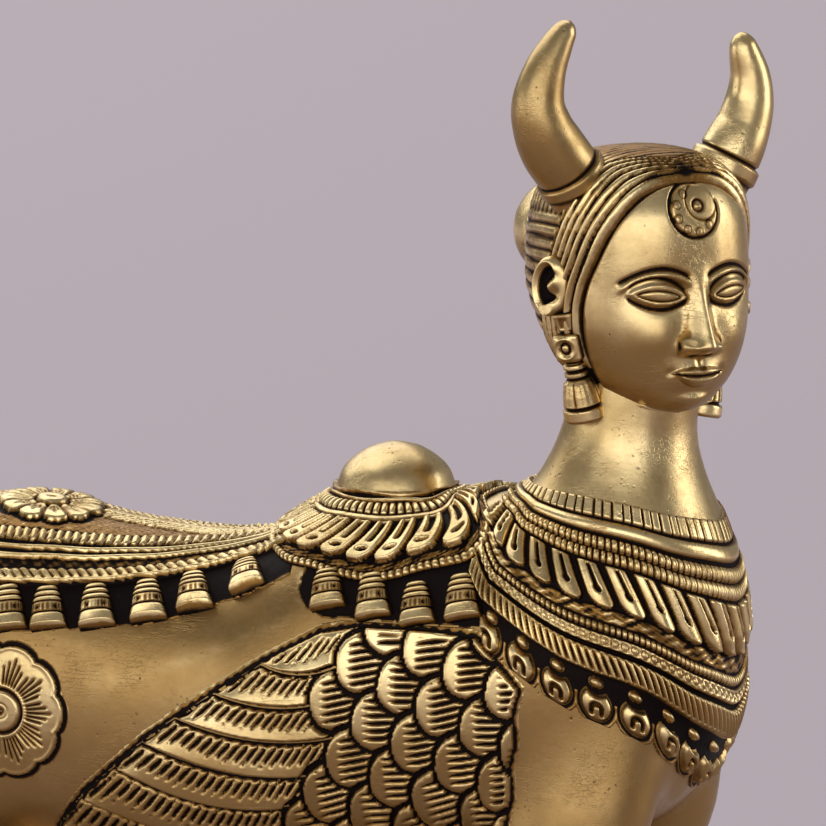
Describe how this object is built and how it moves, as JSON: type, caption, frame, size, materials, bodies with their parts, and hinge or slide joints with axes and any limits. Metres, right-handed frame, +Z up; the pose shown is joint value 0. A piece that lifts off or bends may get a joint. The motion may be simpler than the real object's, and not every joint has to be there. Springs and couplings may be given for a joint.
{
  "type": "kamdhenu cow statue",
  "caption": "Cast brass statue of a standing winged cow with a woman's horned head, collars, bells and cloths, on a low rectangular plinth",
  "frame": {"origin": "centre of the plinth's underside", "axes": "+X is the way the cow faces, +Y is the cow's left, +Z is up"},
  "size_m": [0.256, 0.112, 0.3311],
  "materials": {
    "brass": "antiqued, polished on the raised carving, dark brown patina in the recesses"
  },
  "bodies": {
    "root": {"statue": "brass"}
  },
  "joints": []
}
